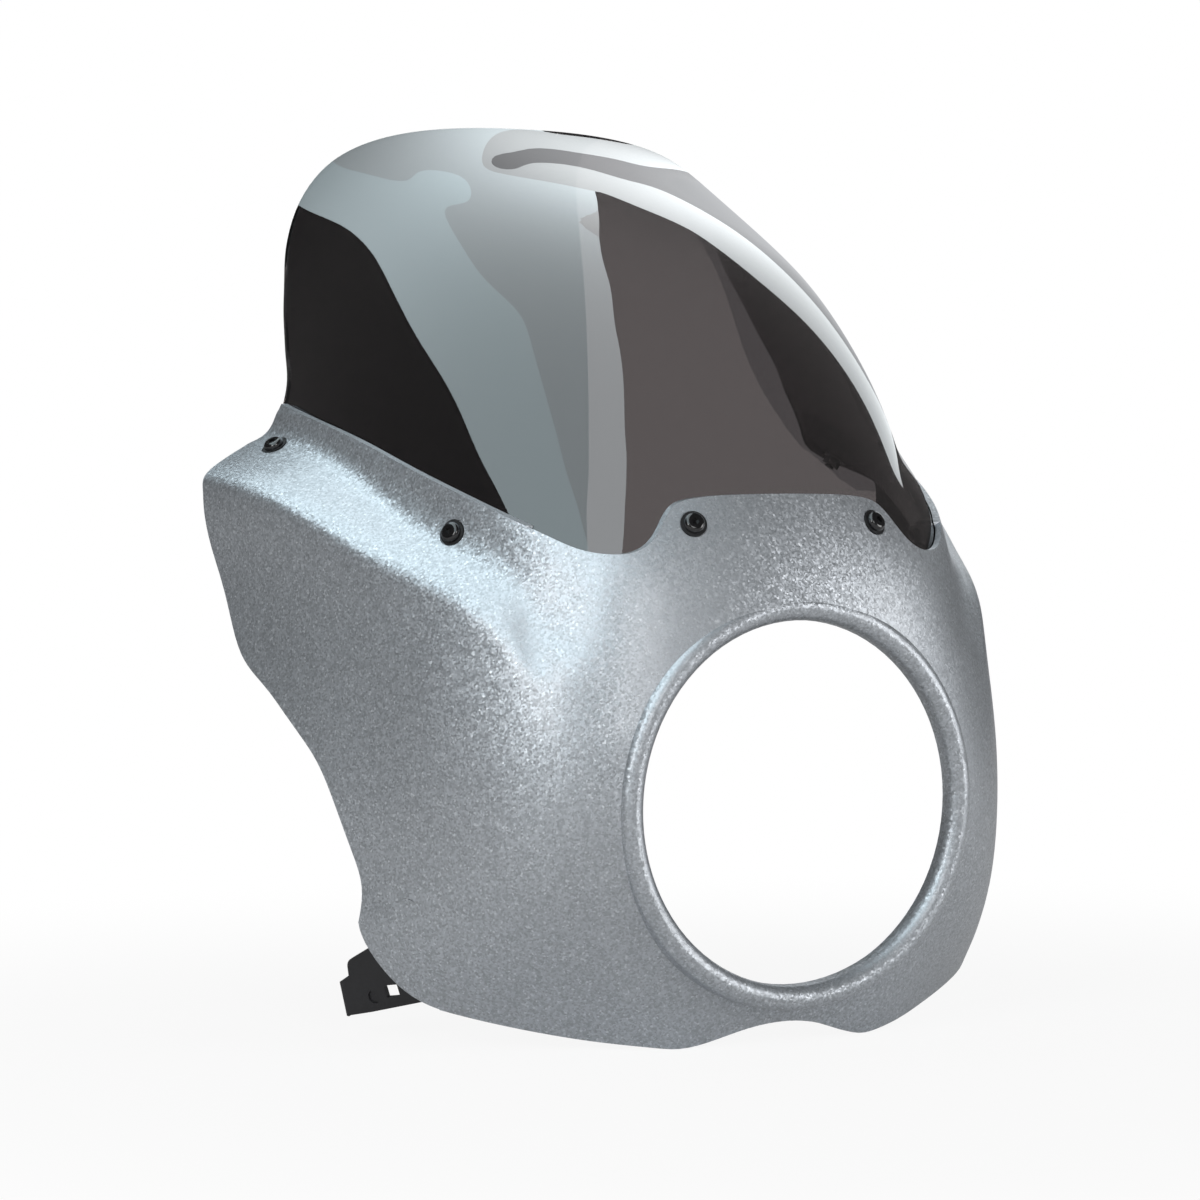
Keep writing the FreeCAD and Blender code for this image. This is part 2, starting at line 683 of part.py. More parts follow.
def nut(label, placement):
    """Flanged lock nut, its flange up against the screen."""
    body, ring = turned_body(label, [("0", "-Sizes.nut_flange_height"),
                                     ("Sizes.nut_flange_radius", "-Sizes.nut_flange_height"),
                                     ("Sizes.nut_flange_radius", "0"), ("0", "0")])
    prism = body.newObject("PartDesign::Pad", label + "_prism")
    prism.Profile = hexagon(body, label + "_hexagon", "Sizes.nut_radius", 0.0)
    prism.setExpression("Length", "Sizes.nut_height")
    prism.Reversed = True
    doc.recompute()
    sketch = sketch_on(body, "XY_Plane", label + "_bore_circle")
    sketch.addGeometry(Part.Circle(Vector(0, 0, 0), Vector(0, 0, 1), size("shank_radius")), False)
    sketch.addConstraint(Sketcher.Constraint("Coincident", 0, 3, -1, 1))
    made = sketch.addConstraint(Sketcher.Constraint("Radius", 0, size("shank_radius")))
    sketch.setExpression("Constraints[%d]" % made, "Sizes.shank_radius")
    bore = body.newObject("PartDesign::Pocket", label + "_bore")
    bore.Profile = sketch
    bore.Type = 1
    doc.recompute()
    if bore.Shape.Volume >= prism.Shape.Volume:
        raise RuntimeError("bore of " + label + " removed nothing")
    body.Placement = placement
    return body


nodes = [cowl_shell, windscreen]
SCREEN_REACH = ("Sizes.wall + Sizes.seat_gap + Sizes.screen_wall - 2 * Sizes.spot_depth"
                " + Sizes.nut_height + Sizes.thread_past_nut")
for name, point, normal in seats:
    outside = framed(point, normal, -size("spot_depth"))
    nodes.append(screw(name % "screw", outside, "Sizes.head_radius", "Sizes.head_height",
                       "Sizes.head_rounding", SCREEN_REACH))
    nodes.append(washer(name % "washer", outside))
    nodes.append(nut(name % "nut", framed(point, normal, -nut_plane)))

# Bracket of the right side: plate with two screw holes, a square hole, a dimple and a
# folded end; the left one is its mirror image.
plate_body = doc.addObject("PartDesign::Body", "bracket_right")
PLATE = [(-26, -16), (3.4, -26), (34.7, -29), (51, -30), (49.3, -13.3), (42.2, -11.8),
         (40.5, -3), (27, 2), (10, 8), (-2, 30), (-20, 30), (-26, 6)]
plate_sketch = sketch_on(plate_body, "XY_Plane", "bracket_outline")
smooth_outline(plate_sketch, [[PLATE[i], PLATE[(i + 1) % len(PLATE)]] for i in range(len(PLATE))])
plate = plate_body.newObject("PartDesign::Pad", "bracket_plate")
plate.Profile = plate_sketch
plate.setExpression("Length", "Sizes.bracket_wall")
plate.Reversed = True
doc.recompute()


def upright_edges(shape, spots):
    names = []
    for number, edge in enumerate(shape.Edges, 1):
        a = edge.Vertexes[0].Point
        b = edge.Vertexes[-1].Point
        if math.hypot(a.x - b.x, a.y - b.y) < 1e-4 and abs(a.z - b.z) > 1e-3:
            for x, y in spots:
                if math.hypot(a.x - x, a.y - y) < 1e-3:
                    names.append("Edge%d" % number)
    return names


rounded = fillet(plate_body, plate,
                 upright_edges(plate.Shape, [PLATE[i] for i in (0, 6, 7, 9, 10, 11)]),
                 "Sizes.bracket_rounding", "bracket_corners")
fold_a, fold_b = PLATE[3], PLATE[4]
lean = math.hypot(fold_b[0] - fold_a[0], fold_b[1] - fold_a[1])
thick = size("bracket_wall")
back = ((fold_a[1] - fold_b[1]) / lean * thick, (fold_b[0] - fold_a[0]) / lean * thick)
fold_c = (fold_b[0] + back[0], fold_b[1] + back[1])
fold_d = (fold_a[0] + back[0], fold_a[1] + back[1])
fold_sketch = sketch_on(plate_body, "XY_Plane", "bracket_fold_outline")
smooth_outline(fold_sketch, [[fold_a, fold_b], [fold_b, fold_c], [fold_c, fold_d],
                             [fold_d, fold_a]])
fold = plate_body.newObject("PartDesign::Pad", "bracket_fold")
fold.Profile = fold_sketch
fold.setExpression("Length", "Sizes.bracket_fold")
fold.Reversed = True
doc.recompute()
bend = []
for number, edge in enumerate(fold.Shape.Edges, 1):
    ends = [vertex.Point for vertex in edge.Vertexes]
    spots = [(p.x, p.y) for p in ends if abs(p.z) < 1e-6]
    if len(spots) == 2 and all(
            min(math.hypot(x - a, y - b) for a, b in (fold_a, fold_b)) < 1e-3 for x, y in spots):
        bend.append("Edge%d" % number)
bent = fillet(plate_body, fold, bend, "Sizes.bracket_fold_rounding", "bracket_bend")

hole_sketch = sketch_on(plate_body, "XY_Plane", "bracket_holes")
wide = size("key_hole_width") / 2.0
tall = size("key_hole_height") / 2.0
square = [(19.6 - wide, -19.5 - tall), (19.6 + wide, -19.5 - tall),
          (19.6 + wide, -19.5 + tall), (19.6 - wide, -19.5 + tall)]
smooth_outline(hole_sketch, [[square[i], square[(i + 1) % 4]] for i in range(4)])
for name, a, b in BRACKET_SCREWS:
    hole_sketch.addGeometry(Part.Circle(Vector(a, b, 0), Vector(0, 0, 1),
                                        size("shank_radius") + size("hole_clearance")), False)
holes = plate_body.newObject("PartDesign::Pocket", "bracket_hole_cut")
holes.Profile = hole_sketch
holes.Type = 1
doc.recompute()
if holes.Shape.Volume >= bent.Shape.Volume:
    raise RuntimeError("bracket holes removed nothing")
dimple_sketch = sketch_on(plate_body, "XY_Plane", "bracket_dimple_circle")
dimple_sketch.addGeometry(Part.Circle(Vector(30.9, -21.7, 0), Vector(0, 0, 1),
                                      size("dimple_radius")), False)
dimple = plate_body.newObject("PartDesign::Pocket", "bracket_dimple")
dimple.Profile = dimple_sketch
dimple.setExpression("Length", "Sizes.dimple_depth")
doc.recompute()
if dimple.Shape.Volume >= holes.Shape.Volume:
    raise RuntimeError("bracket dimple removed nothing")
plate_body.Placement = bracket_frame
nodes += [plate_body, reflect("bracket_left", plate_body)]

BRACKET_REACH = "Sizes.bracket_wall + Sizes.insert_length - 1"
for name, seat in boss_spots:
    for hand in ("right", "left"):
        spot, normal = seat, wall_normal
        if hand == "left":
            spot, normal = flip(seat), flip(wall_normal)
        inner = framed(spot, normal * -1.0, size("bracket_wall"))
        nodes.append(screw("bracket_screw_%s_%s" % (name, hand), inner, "Sizes.pan_radius",
                           "Sizes.pan_height", "Sizes.pan_rounding", BRACKET_REACH))
        nodes.append(washer("bracket_washer_%s_%s" % (name, hand), inner))
        body, ring = turned_body("insert_%s_%s" % (name, hand),
                                 [("Sizes.shank_radius", "0"), ("Sizes.insert_radius", "0"),
                                  ("Sizes.insert_radius", "Sizes.insert_length"),
                                  ("Sizes.shank_radius", "Sizes.insert_length")])
        body.Placement = framed(spot, normal)
        nodes.append(body)

doc.recompute()
for item in doc.Objects:
    if "Invalid" in item.State or "Error" in item.State:
        raise RuntimeError("not computed: " + item.Name)
os.makedirs("parts", exist_ok=True)
for node in nodes:
    shape = node.Shape
    if shape.isNull() or not shape.isValid() or len(shape.Solids) != 1:
        raise RuntimeError("bad solid: %s, %d solids" % (node.Label, len(shape.Solids)))
    shape.exportStep("parts/%s.step" % node.Label)
    box = shape.BoundBox
    print("%s volume %.0f box %.1f %.1f %.1f to %.1f %.1f %.1f" % (
        node.Label, shape.Volume, box.XMin, box.YMin, box.ZMin, box.XMax, box.YMax, box.ZMax))
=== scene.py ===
import math

import bpy
import numpy as np
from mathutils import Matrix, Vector


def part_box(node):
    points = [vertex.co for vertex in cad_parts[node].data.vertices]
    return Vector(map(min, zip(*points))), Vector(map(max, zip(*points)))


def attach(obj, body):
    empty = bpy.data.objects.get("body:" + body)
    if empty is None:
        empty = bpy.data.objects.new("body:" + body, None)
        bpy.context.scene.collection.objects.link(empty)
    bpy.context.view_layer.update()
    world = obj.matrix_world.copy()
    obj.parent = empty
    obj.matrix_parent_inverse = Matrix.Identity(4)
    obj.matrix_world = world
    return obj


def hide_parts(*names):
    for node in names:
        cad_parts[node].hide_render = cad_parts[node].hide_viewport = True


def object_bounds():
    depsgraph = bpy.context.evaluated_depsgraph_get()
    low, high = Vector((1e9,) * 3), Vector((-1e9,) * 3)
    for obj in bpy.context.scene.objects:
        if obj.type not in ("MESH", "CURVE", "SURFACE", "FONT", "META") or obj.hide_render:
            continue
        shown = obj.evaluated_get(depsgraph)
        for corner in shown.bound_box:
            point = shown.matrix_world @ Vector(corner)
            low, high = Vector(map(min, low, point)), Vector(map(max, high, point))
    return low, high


bl_info = {
    "name": "Headlight Cowl Studio",
    "version": (1, 0, 0),
    "blender": (4, 5, 0),
    "location": "View3D > Sidebar > Cowl",
    "description": "Finishes and a soft studio for a headlight cowl with a smoked screen",
    "category": "Object",
}

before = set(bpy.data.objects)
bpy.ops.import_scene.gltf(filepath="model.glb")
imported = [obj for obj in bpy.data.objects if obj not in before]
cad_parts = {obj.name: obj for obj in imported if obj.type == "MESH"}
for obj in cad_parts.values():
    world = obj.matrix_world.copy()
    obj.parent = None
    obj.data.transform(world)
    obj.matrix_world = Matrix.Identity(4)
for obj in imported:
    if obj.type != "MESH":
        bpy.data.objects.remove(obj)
CAD_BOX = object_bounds()

BODY = "root"
SIDES = ("right", "left")
SCREW_PLACES = ("tab", "wing_front", "wing_rear")
BRACKET_PLACES = ("upper", "lower")


# Shader maths ---------------------------------------------------------------------

class Wire:
    """A shader socket that takes part in sums."""

    def __init__(self, sheet, socket):
        self.sheet = sheet
        self.socket = socket

    def _sum(self, operation, first, second):
        return self.sheet.add("ShaderNodeMath", {"operation": operation}, {0: first, 1: second})

    def __add__(self, other):
        return self._sum("ADD", self, other)

    __radd__ = __add__

    def __sub__(self, other):
        return self._sum("SUBTRACT", self, other)

    def __rsub__(self, other):
        return self._sum("SUBTRACT", other, self)

    def __mul__(self, other):
        return self._sum("MULTIPLY", self, other)

    __rmul__ = __mul__

    def __gt__(self, other):
        return self._sum("GREATER_THAN", self, other)

    def __lt__(self, other):
        return self._sum("LESS_THAN", self, other)


class NodeSheet:
    """A node tree built from expressions."""

    def __init__(self, tree):
        self.tree = tree
        tree.nodes.clear()

    def add(self, kind, settings, values, output=0):
        node = self.tree.nodes.new(kind)
        for name, value in settings.items():
            setattr(node, name, value)
        for key, value in values.items():
            if isinstance(value, Wire):
                self.tree.links.new(value.socket, node.inputs[key])
            else:
                node.inputs[key].default_value = value
        return Wire(self, node.outputs[output]) if node.outputs else None

    def mix(self, factor, first, second, way="MIX"):
        """Colour mix: factor, first colour, second colour."""
        settings = {"data_type": "RGBA", "blend_type": way, "clamp_factor": True}
        return self.add("ShaderNodeMix", settings, {0: factor, 6: first, 7: second}, 2)

    def vector(self, operation, first, second=None, output=0):
        values = {0: first}
        if second is not None:
            values[1] = second
        return self.add("ShaderNodeVectorMath", {"operation": operation}, values, output)

    def place(self):
        """Position on the object, in metres."""
        return self.add("ShaderNodeTexCoord", {}, {}, "Object")

    def noise(self, scale, detail):
        values = {"Vector": self.place(), "Scale": scale, "Detail": detail}
        return self.add("ShaderNodeTexNoise", {}, values, 0)

    def cells(self, scale):
        """A random colour for each cell."""
        values = {"Vector": self.place(), "Scale": scale}
        return self.add("ShaderNodeTexVoronoi", {"feature": "F1"}, values, "Color")

    def ray(self, kind):
        return self.add("ShaderNodeLightPath", {}, {}, kind)

    def bump(self, height, distance, strength):
        values = {"Height": height, "Distance": distance, "Strength": strength}
        return self.add("ShaderNodeBump", {}, values, 0)

    def surface(self, shader):
        self.add("ShaderNodeOutputMaterial", {}, {"Surface": shader})


def rgb(colour):
    return (colour[0], colour[1], colour[2], 1.0)


def shade(colour, share):
    return (colour[0] * share, colour[1] * share, colour[2] * share, 1.0)


def new_material(name):
    material = bpy.data.materials.new(name)
    material.use_nodes = True
    return material, NodeSheet(material.node_tree)


def dress(node, material):
    """Gives a frame node its finish."""
    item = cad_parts[node]
    if not item.material_slots:
        raise RuntimeError("no material slot on " + node)
    for slot in item.material_slots:
        slot.material = material


# Settings -------------------------------------------------------------------------

def colour_setting(name, description, default):
    return bpy.props.FloatVectorProperty(name=name, description=description, subtype="COLOR",
                                         size=3, min=0.0, max=1.0, default=default)


class PaintSettings(bpy.types.PropertyGroup):
    silver: colour_setting("Silver", "Colour of the metallic paint", (0.50, 0.53, 0.565))
    inside: colour_setting("Inside", "Bare moulded plastic inside the shell",
                           (0.030, 0.032, 0.033))
    flake: bpy.props.FloatProperty(name="Flake", description="Width of a paint flake",
                                   unit="LENGTH", default=0.0009, min=0.0002)
    sparkle: bpy.props.FloatProperty(name="Sparkle", description="Tilt of the flakes",
                                     default=0.19, min=0.0, max=1.0)
    depth: bpy.props.FloatProperty(name="Flake depth", subtype="FACTOR", min=0.0, max=1.0,
                                   description="How much darker the darkest flakes are",
                                   default=0.27)


class ScreenSettings(bpy.types.PropertyGroup):
    smoke: colour_setting("Smoke", "Light that one wall of the screen lets through",
                          (0.108, 0.096, 0.096))
    roughness: bpy.props.FloatProperty(name="Roughness", default=0.0, min=0.0, max=1.0,
                                       description="Roughness of the polished screen")
    wall: bpy.props.FloatProperty(name="Wall", description="Wall of the screen",
                                  unit="LENGTH", default=0.003)
    under: bpy.props.FloatProperty(name="Seat", unit="LENGTH", default=0.0038,
                                   description="Depth of the flange below the paint")
    spokes: bpy.props.IntProperty(name="Spokes", description="Facets around the rim",
                                  default=288, min=24)
    rings: bpy.props.IntProperty(name="Rings", description="Facets from middle to rim",
                                 default=56, min=4)
    polish: bpy.props.IntProperty(name="Polish", default=3, min=1, max=8,
                                  description="Order of the evened surface, low for smooth")


class HardwareSettings(bpy.types.PropertyGroup):
    black: colour_setting("Black", "Black finish of screws and washers", (0.012, 0.012, 0.013))
    steel_black: colour_setting("Bracket black", "Satin powder coat of the brackets",
                                (0.022, 0.022, 0.024))
    zinc: colour_setting("Zinc", "Zinc plate of the nuts", (0.62, 0.63, 0.64))
    brass: colour_setting("Brass", "Threaded inserts", (0.72, 0.53, 0.26))


class StudioSettings(bpy.types.PropertyGroup):
    floor_radius: bpy.props.FloatProperty(name="Floor", description="Radius of the floor",
                                          unit="LENGTH", default=6.0)
    dome_radius: bpy.props.FloatProperty(name="Dome", unit="LENGTH", default=2.2,
                                         description="Distance of the lamps from the screen")
    fill: bpy.props.FloatProperty(name="Fill", description="Light of the surroundings",
                                  default=0.35, min=0.0)
    gloss_fill: bpy.props.FloatProperty(name="Reflected surroundings", default=0.05, min=0.0,
                                        description="Surroundings as a gloss surface shows them")
    lens: bpy.props.FloatProperty(name="Lens", description="Focal length", unit="CAMERA",
                                  default=117.0)
    shadow: bpy.props.FloatProperty(name="Floor shadow", subtype="FACTOR", min=0.0, max=1.0,
                                    description="Share of the floor that takes the shadow",
                                    default=0.10)


GROUPS = (("cowl_paint", PaintSettings), ("cowl_screen", ScreenSettings),
          ("cowl_hardware", HardwareSettings), ("cowl_studio", StudioSettings))


# Form of the screen ---------------------------------------------------------------
# Millimetres here, with the same stations as the solid: +Z up, +Y towards the rider.

MM = 0.001

# Height, depth of the face, depth and slope of the cheek, corner blend, half width.
STATIONS = [
    (-125.0, 28.0, -19.0, 0.85, 30.0, 98.0),
    (-66.0, 1.0, -39.0, 0.62, 30.0, 109.0),
    (0.0, -12.3, -66.0, 0.57, 32.0, 113.5),
    (61.0, -6.3, -54.0, 0.62, 34.5, 109.5),
    (100.0, 2.0, -30.3, 0.47, 35.0, 104.5),
    (142.0, 16.5, -4.3, 0.50, 36.0, 103.5),
    (200.0, 50.0, 38.0, 0.63, 40.0, 103.5),
]

# Depth and height of the ridge and of the top edge of the shell.
RIDGE = [(34, 59), (45, 74), (63.5, 89.5), (104, 107), (151, 129), (190, 142), (224, 148),
         (260, 150)]
TOP_EDGE = [(0, 143), (18, 143), (43, 124), (65, 131.7), (91, 142.4), (123, 154.3),
            (156, 166), (195, 176.7), (236, 187), (300, 206)]

# Height with the front of the bubble, and with its half width at the open end.
BUBBLE_FRONT = [(122, 11), (142, 17), (187, 33), (222, 62), (251, 100), (274, 145),
                (300, 205), (320, 247), (328, 266), (340, 300), (343, 310)]
BUBBLE_WIDTH = [(122, 209), (137, 189), (148, 172), (160, 165), (182, 157.5), (222, 145.5),
                (251, 137), (271, 131), (300, 121), (320, 102.5), (343, 60)]
BUBBLE_END = 310.0
BUBBLE_POWER = 2.2

# Heights above the top edge of the shell between which the flange turns into the bubble.
FLANGE_TOP = 2.0
FLANGE_BLEND = 24.0

# Lower edge of the flange (depth, height) and rear edge (height, depth).
FLANGE = [(-60, 106), (88, 108), (115, 117), (168, 138), (213, 150), (235, 157)]
REAR = [(157, 235), (187, 234), (195, 236.5), (212, 244), (229, 254), (246, 262.5),
        (262.5, 270.5), (279, 272.5), (295, 270.5), (310, 268.5), (327, 265), (345, 264)]


class Curve:
    """Natural cubic through a few stations, straight beyond its ends."""

    def __init__(self, pairs):
        self.u = np.array([a for a, b in pairs], float)
        self.v = np.array([b for a, b in pairs], float)
        count = len(pairs)
        step = np.diff(self.u)
        climb = np.diff(self.v) / step
        system = np.eye(count)
        right = np.zeros(count)
        for i in range(1, count - 1):
            system[i, i - 1:i + 2] = step[i - 1], 2.0 * (step[i - 1] + step[i]), step[i]
            right[i] = 6.0 * (climb[i] - climb[i - 1])
        self.k = np.linalg.solve(system, right)
        self.low = climb[0] - step[0] * self.k[1] / 6.0
        self.high = climb[-1] + step[-1] * self.k[-2] / 6.0

    def __call__(self, t):
        t = np.asarray(t, float)
        i = np.clip(np.searchsorted(self.u, t) - 1, 0, len(self.u) - 2)
        span = self.u[i + 1] - self.u[i]
        a = (self.u[i + 1] - t) / span
        b = 1.0 - a
        bend = (a ** 3 - a) * self.k[i] + (b ** 3 - b) * self.k[i + 1]
        inside = a * self.v[i] + b * self.v[i + 1] + bend * span * span / 6.0
        inside = np.where(t < self.u[0], self.v[0] + (t - self.u[0]) * self.low, inside)
        return np.where(t > self.u[-1], self.v[-1] + (t - self.u[-1]) * self.high, inside)


def station_curve(column):
    return Curve([(station[0], station[column]) for station in STATIONS])


face_depth, cheek_depth, cheek_slope, corner_blend, side_width = (
    station_curve(column) for column in range(1, 6))
ridge_level = Curve(RIDGE)
edge_level = Curve(TOP_EDGE)
bubble_front = Curve(BUBBLE_FRONT)
bubble_width = Curve(BUBBLE_WIDTH)
flange_edge = Curve(FLANGE)
rear_edge = Curve(REAR)


def greater(a, b, width):
    """The greater of two values, with a soft change-over."""
    blend = np.maximum(width - np.abs(a - b), 0.0) / width
    return np.maximum(a, b) + blend ** 3 * width / 6.0


def lesser(a, b, width):
    return -greater(-a, -b, width)


def rise(t):
    t = np.clip(t, 0.0, 1.0)
    return t ** 3 * (10.0 + t * (-15.0 + 6.0 * t))


def side_wall(y, z):
    """Half width of the side at a depth and height: panel, ridge and leaning band."""
    x = side_width(z) + 0.695 * y - 0.0012 * y * y
    over = z - ridge_level(np.clip(y, RIDGE[0][0], RIDGE[-1][0]))
    soft = 0.5 * (over + np.sqrt(over * over + 16.0))
    lean = 0.235 + 0.15 * rise((y - 80.0) / 140.0)
    inset = np.maximum(2.0 + 0.165 * y - 0.00017 * y * y, 0.0) * rise((over + 3.0) / 29.0)
    return x - lean * soft - inset


def shell_depth(x, y, z):
    """About the distance of a point below the outer surface of the shell's upper part."""
    x = np.abs(x)
    slope = cheek_slope(z)
    face = greater(face_depth(z) + 0.0018 * x * x, cheek_depth(z) + slope * x, 20.0)
    front = (y - face) / np.sqrt(1.0 + slope * slope)
    side = (side_wall(y, z) - x) * 0.92
    return lesser(front, side, corner_blend(z))


def gradient(depth, x, y, z, reach=0.4):
    """Outward direction of a depth field, and how steeply the field climbs."""
    across = depth(x - reach, y, z) - depth(x + reach, y, z)
    along = depth(x, y - reach, z) - depth(x, y + reach, z)
    upward = depth(x, y, z - reach) - depth(x, y, z + reach)
    length = np.sqrt(across ** 2 + along ** 2 + upward ** 2)
    return np.stack([across, along, upward], -1) / length[..., None], length / (2.0 * reach)


def bubble_depth(x, y, z):
    """About the distance of a point inside the free bubble."""
    run = np.maximum(BUBBLE_END - y, 1e-6)
    wide = (np.abs(x) / np.maximum(bubble_width(z), 5.0)) ** BUBBLE_POWER
    deep = (run / np.maximum(BUBBLE_END - bubble_front(z), 5.0)) ** BUBBLE_POWER
    share = np.maximum(wide + deep, 1e-9) ** (1.0 / BUBBLE_POWER)
    return np.hypot(x, run) * (1.0 / share - 1.0)


def screen_depth(x, y, z, under):
    """About the distance of a point inside the screen: flange below, bubble above."""
    follow = 1.0 - rise((z - edge_level(y) - FLANGE_TOP) / FLANGE_BLEND)
    flange = shell_depth(x, y, z) / gradient(shell_depth, x, y, z)[1] - under
    return follow * flange + (1.0 - follow) * bubble_depth(x, y, z)


# Pieces ---------------------------------------------------------------------------

class COWL_OT_shell(bpy.types.Operator):
    """Silver flake paint outside, bare moulded plastic inside"""
    bl_idname = "cowl.shell"
    bl_label = "Painted shell"

    # Middle of the hollow: share of the shell's depth, and height.
    MIDDLE_SHARE = 0.66
    MIDDLE_HEIGHT = 0.03
    INSIDE_LIMIT = -0.004
    # The wall of the headlight opening is painted: reach from its axis, and depth.
    TUNNEL_REACH = 0.0875
    TUNNEL_DEPTH = 0.03
    GLINT = (0.86, 0.89, 0.92, 1.0)

    def execute(self, context):
        paint = context.scene.cowl_paint
        material, sheet = new_material("silver_flake_paint")
        fine = sheet.add("ShaderNodeSeparateColor", {}, {0: sheet.cells(1.0 / paint.flake)})
        cloud = sheet.noise(9.0, 3.0)
        flakes = sheet.mix(fine, shade(paint.silver, 1.0 - paint.depth),
                           shade(paint.silver, 1.0 + 0.62 * paint.depth))
        bright = sheet.mix((fine > 0.96) * 0.35, flakes, self.GLINT)
        toned = sheet.mix(cloud * 0.16, bright, shade(paint.silver, 0.80))

        position = sheet.add("ShaderNodeNewGeometry", {}, {}, "Position")
        normal = sheet.add("ShaderNodeNewGeometry", {}, {}, "Normal")
        inside = self.inside(sheet, position, normal)

        tilt = sheet.vector("SUBTRACT", sheet.cells(1.0 / paint.flake), (0.5, 0.5, 0.5))
        tilt = sheet.vector("MULTIPLY", tilt, (paint.sparkle,) * 3)
        sparkling = sheet.vector("NORMALIZE", sheet.vector("ADD", normal, tilt))
        grain = sheet.noise(1100.0, 2.0)
        leather = sheet.bump(grain, 0.00012, 0.7)
        skin = sheet.add("ShaderNodeMix", {"data_type": "VECTOR"},
                         {0: inside, 4: sparkling, 5: leather}, 1)
        gloss = sheet.noise(14.0, 2.0)
        shader = sheet.add("ShaderNodeBsdfPrincipled", {}, {
            "Base Color": sheet.mix(inside, toned, rgb(paint.inside)),
            "Metallic": (1.0 - inside) * 0.72,
            "Roughness": 0.40 + gloss * 0.06 + inside * 0.14,
            "Coat Weight": (1.0 - inside) * 0.30,
            "Coat Roughness": 0.16,
            "Normal": skin,
        })
        sheet.surface(shader)
        dress("cowl_shell", material)
        return {"FINISHED"}

    def inside(self, sheet, position, normal):
        """1 where the shell faces its own hollow, 0 on the painted side."""
        low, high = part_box("cowl_shell")
        depth = low[1] + self.MIDDLE_SHARE * (high[1] - low[1])
        spoke = sheet.vector("SUBTRACT", position, (0.0, depth, self.MIDDLE_HEIGHT))
        facing = sheet.vector("DOT_PRODUCT", spoke, normal, "Value")
        reach = sheet.vector("MULTIPLY", position, (1.0, 0.0, 1.0))
        bore = sheet.vector("LENGTH", reach, None, "Value") < self.TUNNEL_REACH
        along = sheet.vector("DOT_PRODUCT", position, (0.0, 1.0, 0.0), "Value")
        return (facing < self.INSIDE_LIMIT) * (1.0 - bore * (along < self.TUNNEL_DEPTH))


